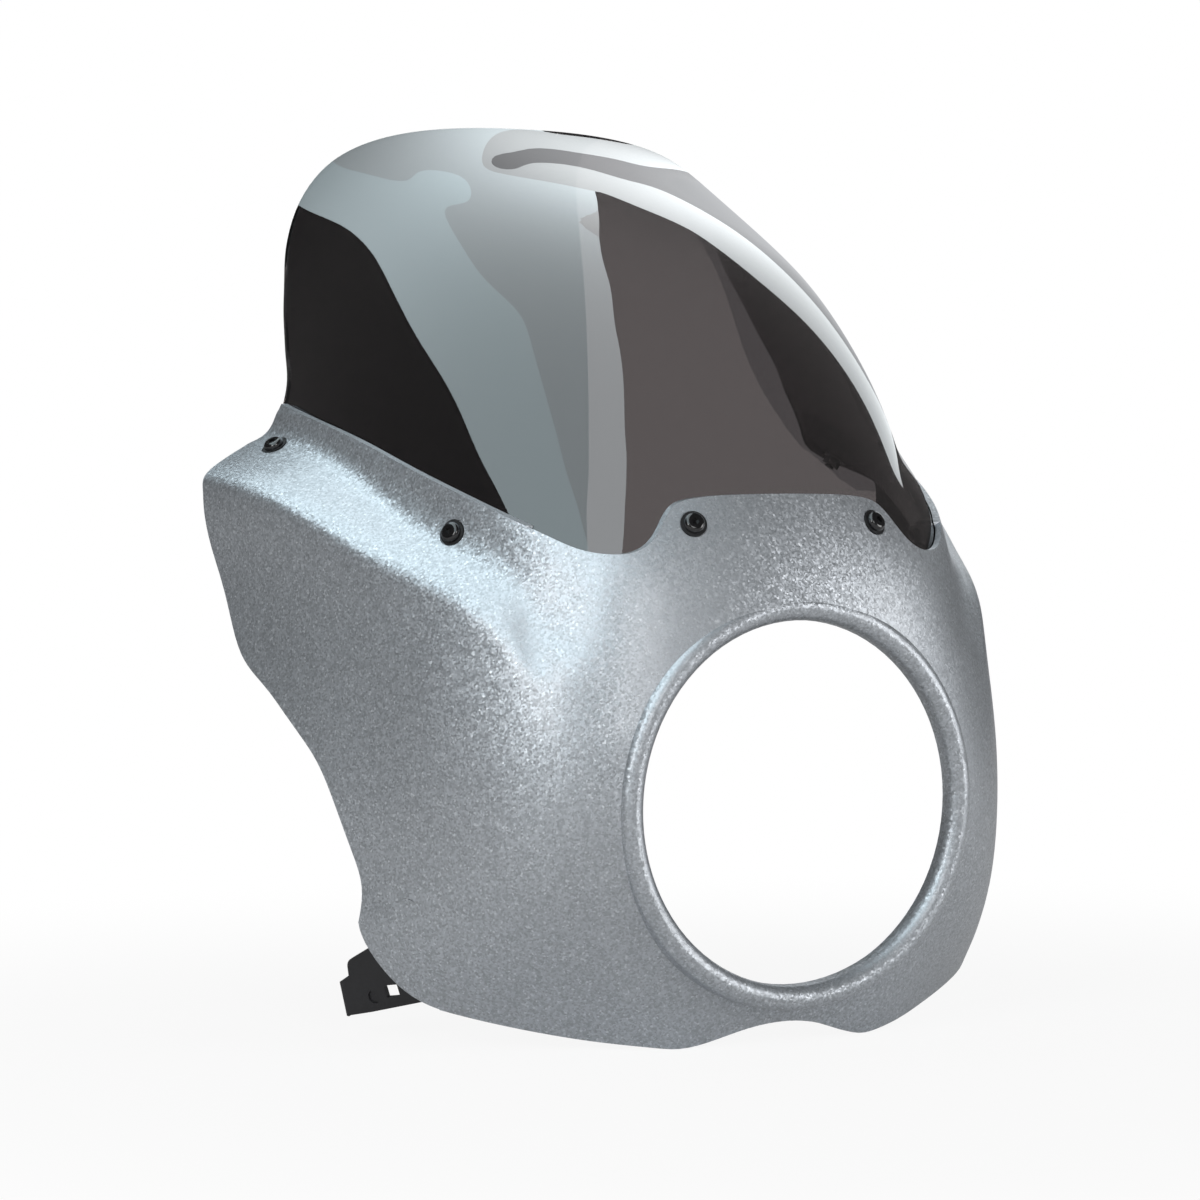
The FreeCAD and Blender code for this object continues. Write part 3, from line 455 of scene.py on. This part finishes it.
class COWL_OT_screen(bpy.types.Operator):
    """Smoked clear screen, a bubble above a flange that follows the shell"""
    bl_idname = "cowl.screen"
    bl_label = "Smoked screen"

    # Rays fan out from an eye behind the screen: their middle and spread, in degrees.
    EYE = (0.0, 380.0, 60.0)
    MIDDLE = (0.0, 33.0)
    SPREAD = (66.0, 45.0)
    RAY_START = 60.0
    RAY_END = 520.0
    RAY_HALVINGS = 34
    RIM_HALVINGS = 22
    # What the evened surface follows: bubble above this height over the edge, less below.
    BUBBLE_CLEAR = 6.0
    BUBBLE_REACH = 4.0
    FLANGE_WEIGHT = 0.35

    def meet(self, turn, climb, under):
        """Outer surface of the screen along rays from the eye behind it."""
        way = np.stack([np.sin(turn) * np.cos(climb), -np.cos(turn) * np.cos(climb),
                        np.sin(climb)], -1)
        near = np.full(turn.shape, self.RAY_START)
        far = np.full(turn.shape, self.RAY_END)
        for halving in range(self.RAY_HALVINGS):
            middle = 0.5 * (near + far)
            spot = np.array(self.EYE) + way * middle[..., None]
            within = screen_depth(spot[..., 0], spot[..., 1], spot[..., 2], under) > 0.0
            near = np.where(within, middle, near)
            far = np.where(within, far, middle)
        return np.array(self.EYE) + way * near[..., None]

    def spots(self, around, share, under):
        turn = np.radians(self.MIDDLE[0] + self.SPREAD[0] * share * np.cos(around))
        climb = np.radians(self.MIDDLE[1] + self.SPREAD[1] * share * np.sin(around))
        return self.meet(turn, climb, under)

    def rim_share(self, around, under):
        """Share of the spread at which each spoke leaves the screen."""
        near = np.zeros(around.shape)
        far = np.ones(around.shape)
        for halving in range(self.RIM_HALVINGS):
            middle = 0.5 * (near + far)
            spot = self.spots(around, middle, under)
            kept = np.minimum(spot[:, 2] - flange_edge(spot[:, 1]),
                              rear_edge(spot[:, 2]) - spot[:, 1]) > 0.0
            near = np.where(kept, middle, near)
            far = np.where(kept, far, middle)
        return near

    def outer_spots(self, screen, under):
        """Hub first, then ring by ring out to the rim."""
        around = 2.0 * np.pi * np.arange(screen.spokes) / screen.spokes
        steps = np.arange(1, screen.rings + 1) / screen.rings
        share = steps[:, None] * self.rim_share(around, under)[None, :]
        outer = self.spots(np.broadcast_to(around, share.shape), share, under)
        hub = self.spots(np.zeros(1), np.zeros(1), under)
        return np.concatenate([hub, outer.reshape(-1, 3)])

    def facets(self, screen, count):
        """Outer face, inner face and the cut rim between them."""
        spokes = screen.spokes
        faces = []
        for k in range(spokes):
            after = (k + 1) % spokes
            faces.append((0, 1 + k, 1 + after))
            faces.append((count, count + 1 + after, count + 1 + k))
            for ring in range(screen.rings - 1):
                a = 1 + ring * spokes + k
                b = 1 + ring * spokes + after
                faces.append((a, a + spokes, b + spokes, b))
                faces.append((count + b, count + b + spokes, count + a + spokes, count + a))
            a = 1 + (screen.rings - 1) * spokes + k
            b = 1 + (screen.rings - 1) * spokes + after
            faces.append((a, count + a, count + b, b))
        return faces

    def mesh(self, screen):
        under = screen.under / MM
        outer = self.outer_spots(screen, under)

        def depth(x, y, z):
            return screen_depth(x, y, z, under)

        normal = gradient(depth, outer[:, 0], outer[:, 1], outer[:, 2])[0]
        inner = outer - normal * (screen.wall / MM)
        count = len(outer)
        mesh = bpy.data.meshes.new("smoked_screen")
        spots = (np.concatenate([outer, inner]) * MM).tolist()
        mesh.from_pydata(spots, [], self.facets(screen, count))
        rim = set(range(count - screen.spokes, count))
        rim |= {count + v for v in rim}
        for edge in mesh.edges:
            a, b = edge.vertices
            edge.use_edge_sharp = a in rim and b in rim and (a < count) == (b < count)
        for face in mesh.polygons:
            face.use_smooth = True
        mesh.validate()
        skin = self.polished(outer, screen.polish)
        mesh.normals_split_custom_set(self.split_normals(mesh, skin, rim))
        return mesh

    def polished(self, outer, order):
        """Surface directions evened out as polishing leaves them, mostly by the bubble."""
        x, y, z = outer.T
        bubble = gradient(bubble_depth, x, y, z, self.BUBBLE_REACH)[0]
        way = outer - np.array(self.EYE)
        turn = np.degrees(np.arctan2(way[:, 0], -way[:, 1])) / self.SPREAD[0]
        climb = np.degrees(np.arctan2(way[:, 2], np.hypot(way[:, 0], way[:, 1])))
        climb = (climb - self.MIDDLE[1]) / self.SPREAD[1]
        terms = np.stack([turn ** i * climb ** j for i in range(order + 1)
                          for j in range(order + 1 - i)], -1)
        clear = z > edge_level(y) + self.BUBBLE_CLEAR
        weight = np.where(clear, 1.0, self.FLANGE_WEIGHT)[:, None]
        fit = np.linalg.lstsq(terms * weight, bubble * weight, rcond=None)[0]
        field = terms @ fit
        field /= np.linalg.norm(field, axis=-1, keepdims=True)
        return np.concatenate([field, -field])

    def split_normals(self, mesh, skin, rim):
        """The evened directions on both faces; the cut rim keeps its own."""
        directions = []
        for face in mesh.polygons:
            cut = all(corner in rim for corner in face.vertices)
            for corner in face.vertices:
                directions.append(tuple(face.normal) if cut else tuple(skin[corner]))
        return directions

    def execute(self, context):
        screen = context.scene.cowl_screen
        piece = bpy.data.objects.new("smoked_screen", self.mesh(screen))
        context.scene.collection.objects.link(piece)
        material, sheet = new_material("smoked_acrylic")
        wash = sheet.noise(5.0, 2.0)
        tint = sheet.mix(wash * 0.5, rgb(screen.smoke), shade(screen.smoke, 0.90))
        dust = sheet.noise(420.0, 4.0)
        shader = sheet.add("ShaderNodeBsdfPrincipled", {}, {
            "Base Color": tint,
            "Roughness": screen.roughness + (dust > 0.72) * 0.012,
            "Transmission Weight": 1.0,
            "IOR": 1.49,
            "Coat Weight": 1.0,
            "Coat IOR": 1.6,
            "Coat Roughness": 0.0,
        })
        sheet.surface(shader)
        dress("windscreen", material)
        piece.data.materials.append(material)
        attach(piece, BODY)
        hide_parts("windscreen")
        return {"FINISHED"}


class COWL_OT_screws(bpy.types.Operator):
    """Black button-head screws, washers and zinc lock nuts of the screen"""
    bl_idname = "cowl.screws"
    bl_label = "Screen screws"

    def execute(self, context):
        kit = context.scene.cowl_hardware
        gloss, sheet = new_material("black_gloss_screw")
        wear = sheet.noise(900.0, 3.0)
        sheet.surface(sheet.add("ShaderNodeBsdfPrincipled", {}, {
            "Base Color": sheet.mix(wear * 0.4, rgb(kit.black), shade(kit.black, 1.9)),
            "Metallic": 0.35,
            "Roughness": 0.16 + wear * 0.07,
            "Coat Weight": 0.8,
            "Coat Roughness": 0.06,
            "Normal": sheet.bump(wear, 0.00002, 0.5),
        }))
        nylon, sheet = new_material("black_nylon")
        grain = sheet.noise(1500.0, 2.0)
        sheet.surface(sheet.add("ShaderNodeBsdfPrincipled", {}, {
            "Base Color": sheet.mix(grain * 0.5, rgb(kit.black), shade(kit.black, 2.2)),
            "Roughness": 0.34 + grain * 0.12,
            "Normal": sheet.bump(grain, 0.00004, 0.6),
        }))
        zinc, sheet = new_material("zinc_plate")
        spangle = sheet.noise(380.0, 3.0)
        sheet.surface(sheet.add("ShaderNodeBsdfPrincipled", {}, {
            "Base Color": sheet.mix(spangle, rgb(kit.zinc), shade(kit.zinc, 0.72)),
            "Metallic": 1.0,
            "Roughness": 0.24 + spangle * 0.18,
            "Normal": sheet.bump(spangle, 0.00003, 0.5),
        }))
        for side in SIDES:
            for place in SCREW_PLACES:
                dress("%s_screw_%s" % (place, side), gloss)
                dress("%s_washer_%s" % (place, side), nylon)
                dress("%s_nut_%s" % (place, side), zinc)
            for place in BRACKET_PLACES:
                dress("bracket_screw_%s_%s" % (place, side), zinc)
                dress("bracket_washer_%s_%s" % (place, side), zinc)
        return {"FINISHED"}


class COWL_OT_brackets(bpy.types.Operator):
    """Powder-coated brackets and their brass inserts"""
    bl_idname = "cowl.brackets"
    bl_label = "Brackets"

    def execute(self, context):
        kit = context.scene.cowl_hardware
        coat, sheet = new_material("satin_black_coat")
        peel = sheet.noise(520.0, 3.0)
        patch = sheet.noise(60.0, 3.0)
        sheet.surface(sheet.add("ShaderNodeBsdfPrincipled", {}, {
            "Base Color": sheet.mix(patch * 0.6, rgb(kit.steel_black),
                                    shade(kit.steel_black, 1.7)),
            "Metallic": 0.15,
            "Roughness": 0.36 + patch * 0.12,
            "Normal": sheet.bump(peel, 0.00010, 0.8),
        }))
        brass, sheet = new_material("brass_insert")
        turned = sheet.noise(700.0, 3.0)
        sheet.surface(sheet.add("ShaderNodeBsdfPrincipled", {}, {
            "Base Color": sheet.mix(turned, rgb(kit.brass), shade(kit.brass, 0.7)),
            "Metallic": 1.0,
            "Roughness": 0.28 + turned * 0.15,
            "Normal": sheet.bump(turned, 0.00004, 0.6),
        }))
        for side in SIDES:
            dress("bracket_" + side, coat)
            for place in BRACKET_PLACES:
                dress("insert_%s_%s" % (place, side), brass)
        return {"FINISHED"}


# Studio ---------------------------------------------------------------------------

WHITE = (1.0, 1.0, 1.0, 1.0)
SCREEN_MIDDLE = Vector((0.0, 0.17, 0.25))

FLOOR_RINGS = 5
FLOOR_SIDES = 64
FLOOR_PALE = (0.86, 0.86, 0.86, 1.0)
FLOOR_SHADED = (0.80, 0.80, 0.81, 1.0)
# Distances from the middle between which the floor's shadow fades into the background.
SHADOW_NEAR = 0.25
SHADOW_FAR = 0.8


def toward(azimuth, elevation, distance):
    """Point seen from the middle of the screen; azimuth 0 is the front, 90 the right."""
    turn = math.radians(azimuth)
    climb = math.radians(elevation)
    way = Vector((math.sin(turn) * math.cos(climb), -math.cos(turn) * math.cos(climb),
                  math.sin(climb)))
    return SCREEN_MIDDLE + way * distance


def smooth_line(directions, distance, cuts=6):
    """Smooth line through the points that the directions give."""
    points = [toward(azimuth, elevation, distance) for azimuth, elevation in directions]
    last = len(points) - 1
    axes = [Curve([(i, point[axis]) for i, point in enumerate(points)]) for axis in range(3)]
    return [Vector([float(axis(k / cuts)) for axis in axes]) for k in range(last * cuts + 1)]


def staged(name, points, faces, material):
    """A mesh of the studio, which is no piece of the part."""
    mesh = bpy.data.meshes.new(name)
    mesh.from_pydata(points, [], faces)
    mesh.materials.append(material)
    item = bpy.data.objects.new(name, mesh)
    bpy.context.scene.collection.objects.link(item)
    return item


def sheet_between(name, first, second, distance, material):
    """Cloth of a lamp, ruled between two lines of directions."""
    points = smooth_line(first, distance) + smooth_line(second, distance)
    count = len(points) // 2
    faces = [(i, i + 1, count + i + 1, count + i) for i in range(count - 1)]
    cloth = staged(name, points, faces, material)
    cloth.visible_camera = False
    cloth.visible_shadow = False
    cloth.visible_diffuse = False


def lamp_cloth(name, colour, strength):
    """Finish of a cloth that glows evenly."""
    material, sheet = new_material(name)
    sheet.surface(sheet.add("ShaderNodeEmission", {},
                            {"Color": rgb(colour), "Strength": strength}))
    return material


# Edges of the lamps, as directions (azimuth, elevation) from the middle of the screen.
LEFT_EDGE = [(-163, 46), (-155, 46), (-146, 46), (-137, 45), (-123, 44), (-108, 43),
             (-94, 40), (-78, 33), (-64, 26), (-56, 21), (-50, 17)]
MIDDLE_EDGE = [(161, 52), (168, 56), (176, 58), (-172, 59), (-155, 63), (-136, 67), (-110, 71),
               (-83, 67), (-58, 54), (-41, 36), (-33, 24)]
RIGHT_EDGE = [(143, 36), (142, 45), (141, 60), (138, 72), (125, 81), (13, 85), (-14, 75),
              (-21, 58), (-21, 50), (-22, 40), (-24, 28)]
TOP_LINE = [(161, 52), (152, 45), (148, 39), (144, 30), (142, 24), (141, 18), (138, 16),
            (132, 18), (126, 17), (123, 12), (130, 5)]
LOW_LINE = [(141, 60), (142, 45), (143, 36), (139, 34), (134, 33), (128, 35), (119, 36),
            (112, 32), (106, 26), (103, 19), (103, 12)]
RIM_LINE = [(166, 30), (158, 24), (152, 18), (148, 10), (146, 4), (145, 0), (142, -3),
            (138, -2), (134, -4), (133, -8), (138, -14)]


# Colour and strength of each cloth.
COOL = ((0.80, 0.95, 1.0), 2.5)
WARM = ((0.86, 0.96, 1.0), 2.0)
STRIP = ((0.93, 0.98, 1.0), 1.5)
RIM = ((0.95, 0.97, 1.0), 0.6)

# Painted shade: a dark card behind the part, which only the light passing through the screen
# meets, so that the screen shows shade where nothing stands.
PAINTED_SHADE_CARD_CORNERS = [(-0.3, 1.2, -0.11), (0.585, 1.2, -0.11), (0.585, 1.2, 0.75), (-0.3, 1.2, 0.75)]
PAINTED_SHADE_TONE = (0.004, 0.005, 0.009, 1.0)

# Name, place, size, power, and whether gloss shows the lamp.
KEYS = [
    ("key_front", (-0.55, -2.3, 0.95), 0.9, 9.0, True),
    ("key_corner", (-2.1, -1.15, 0.95), 0.8, 12.5, True),
    ("key_left", (-2.2, -0.7, 0.5), 1.0, 5.0, False),
    ("key_right", (2.0, -1.7, 0.25), 1.4, 26.0, True),
]
KEY_AIM = Vector((0.0, 0.1, 0.05))

CAMERA_PLACE = (-0.9857, -1.4884, 0.15575)
CAMERA_TURN = (88.0, 0.0, -30.5)
SENSOR_WIDTH = 36.0


class COWL_OT_stage(bpy.types.Operator):
    """Floor, surroundings, lamps and camera"""
    bl_idname = "cowl.stage"
    bl_label = "Studio"

    def execute(self, context):
        studio = context.scene.cowl_studio
        self.floor(studio)
        self.surroundings(context.scene, studio)
        self.lamps(studio)
        self.camera(context.scene, studio)
        return {"FINISHED"}

    def floor(self, studio):
        level = CAD_BOX[0][2]
        sides = FLOOR_SIDES
        points = [(0.0, 0.0, level)]
        for ring in range(1, FLOOR_RINGS + 1):
            for k in range(sides):
                turn = 2.0 * math.pi * k / sides
                reach = studio.floor_radius * ring / FLOOR_RINGS
                points.append((reach * math.cos(turn), reach * math.sin(turn), level))
        faces = [(0, 1 + k, 1 + (k + 1) % sides) for k in range(sides)]
        for ring in range(FLOOR_RINGS - 1):
            for k in range(sides):
                a = 1 + ring * sides + k
                b = 1 + ring * sides + (k + 1) % sides
                faces.append((a, a + sides, b + sides, b))
        material, sheet = new_material("pale_floor")
        seen = sheet.ray("Is Camera Ray") + sheet.ray("Is Transmission Ray")
        tooth = sheet.noise(30.0, 3.0)
        matt = sheet.add("ShaderNodeBsdfDiffuse", {},
                         {"Color": sheet.mix(tooth * 0.3, FLOOR_PALE, FLOOR_SHADED)})
        white = sheet.add("ShaderNodeEmission", {}, {"Color": WHITE, "Strength": 1.0})
        position = sheet.add("ShaderNodeNewGeometry", {}, {}, "Position")
        away = sheet.vector("LENGTH", position, None, "Value")
        near = 1.0 - sheet.add("ShaderNodeMapRange", {"interpolation_type": "SMOOTHSTEP"}, {
            "Value": away, "From Min": SHADOW_NEAR, "From Max": SHADOW_FAR})
        share = seen * (1.0 - near * studio.shadow)
        sheet.surface(sheet.add("ShaderNodeMixShader", {}, {0: share, 1: matt, 2: white}))
        staged("floor", points, faces, material)

    def surroundings(self, scene, studio):
        world = bpy.data.worlds.new("studio")
        world.use_nodes = True
        scene.world = world
        sheet = NodeSheet(world.node_tree)
        seen = sheet.ray("Is Camera Ray") + sheet.ray("Is Transmission Ray")
        fill = sheet.mix(sheet.ray("Is Glossy Ray"), shade(WHITE, studio.fill),
                         shade(WHITE, studio.gloss_fill))
        back = sheet.add("ShaderNodeBackground", {},
                         {"Color": sheet.mix(seen, fill, WHITE), "Strength": 1.0})
        sheet.add("ShaderNodeOutputWorld", {}, {"Surface": back})

    def lamps(self, studio):
        far = studio.dome_radius
        cool = lamp_cloth("lamp_cool", *COOL)
        warm = lamp_cloth("lamp_warm", *WARM)
        strip = lamp_cloth("lamp_strip", *STRIP)
        rim = lamp_cloth("lamp_rim", *RIM)
        sheet_between("lamp_left", LEFT_EDGE, MIDDLE_EDGE, far, cool)
        sheet_between("lamp_over", MIDDLE_EDGE, RIGHT_EDGE, far, warm)
        sheet_between("lamp_rear", TOP_LINE, LOW_LINE, far, strip)
        sheet_between("lamp_low", RIM_LINE, TOP_LINE, far, rim)
        # Painted shade: the card is dark only to rays through the screen and clear to all
        # others.
        material, sheet = new_material("painted_shade_card_finish")
        passed = sheet.ray("Is Transmission Ray")
        clear = sheet.add("ShaderNodeBsdfTransparent", {}, {})
        dark = sheet.add("ShaderNodeEmission", {}, {"Color": PAINTED_SHADE_TONE, "Strength": 1.0})
        sheet.surface(sheet.add("ShaderNodeMixShader", {}, {0: passed, 1: clear, 2: dark}))
        staged("painted_shade_card", PAINTED_SHADE_CARD_CORNERS, [(0, 1, 2, 3)], material)
        for name, place, size, power, glossy in KEYS:
            self.key(name, place, size, power, glossy)

    def key(self, name, place, size, power, glossy):
        light = bpy.data.lights.new(name, "AREA")
        light.shape = "SQUARE"
        light.size = size
        light.energy = power
        lamp = bpy.data.objects.new(name, light)
        lamp.location = place
        aim = KEY_AIM - Vector(place)
        lamp.rotation_euler = aim.to_track_quat("-Z", "Y").to_euler()
        lamp.visible_glossy = glossy
        bpy.context.scene.collection.objects.link(lamp)

    def camera(self, scene, studio):
        eye = bpy.data.cameras.new("camera")
        eye.lens = studio.lens
        eye.sensor_width = SENSOR_WIDTH
        item = bpy.data.objects.new("camera", eye)
        item.location = CAMERA_PLACE
        item.rotation_euler = [math.radians(turn) for turn in CAMERA_TURN]
        scene.collection.objects.link(item)
        scene.camera = item
        scene.view_settings.view_transform = "Standard"


# Panel ----------------------------------------------------------------------------

OPERATORS = (COWL_OT_shell, COWL_OT_screen, COWL_OT_screws, COWL_OT_brackets, COWL_OT_stage)


class COWL_PT_panel(bpy.types.Panel):
    """Sizes, colours and pieces of the cowl"""
    bl_idname = "COWL_PT_panel"
    bl_label = "Headlight cowl"
    bl_space_type = "VIEW_3D"
    bl_region_type = "UI"
    bl_category = "Cowl"

    def draw(self, context):
        for name, group in GROUPS:
            box = self.layout.box()
            settings = getattr(context.scene, name)
            for key in group.__annotations__:
                box.prop(settings, key)
        for operator in OPERATORS:
            self.layout.operator(operator.bl_idname)


def register():
    for name, group in GROUPS:
        bpy.utils.register_class(group)
        setattr(bpy.types.Scene, name, bpy.props.PointerProperty(type=group))
    for item in OPERATORS + (COWL_PT_panel,):
        bpy.utils.register_class(item)


def unregister():
    for item in reversed(OPERATORS + (COWL_PT_panel,)):
        bpy.utils.unregister_class(item)
    for name, group in reversed(GROUPS):
        delattr(bpy.types.Scene, name)
        bpy.utils.unregister_class(group)


def main():
    register()
    bpy.ops.cowl.shell()
    bpy.ops.cowl.screen()
    bpy.ops.cowl.screws()
    bpy.ops.cowl.brackets()
    bpy.ops.cowl.stage()


if __name__ == "__main__":
    main()
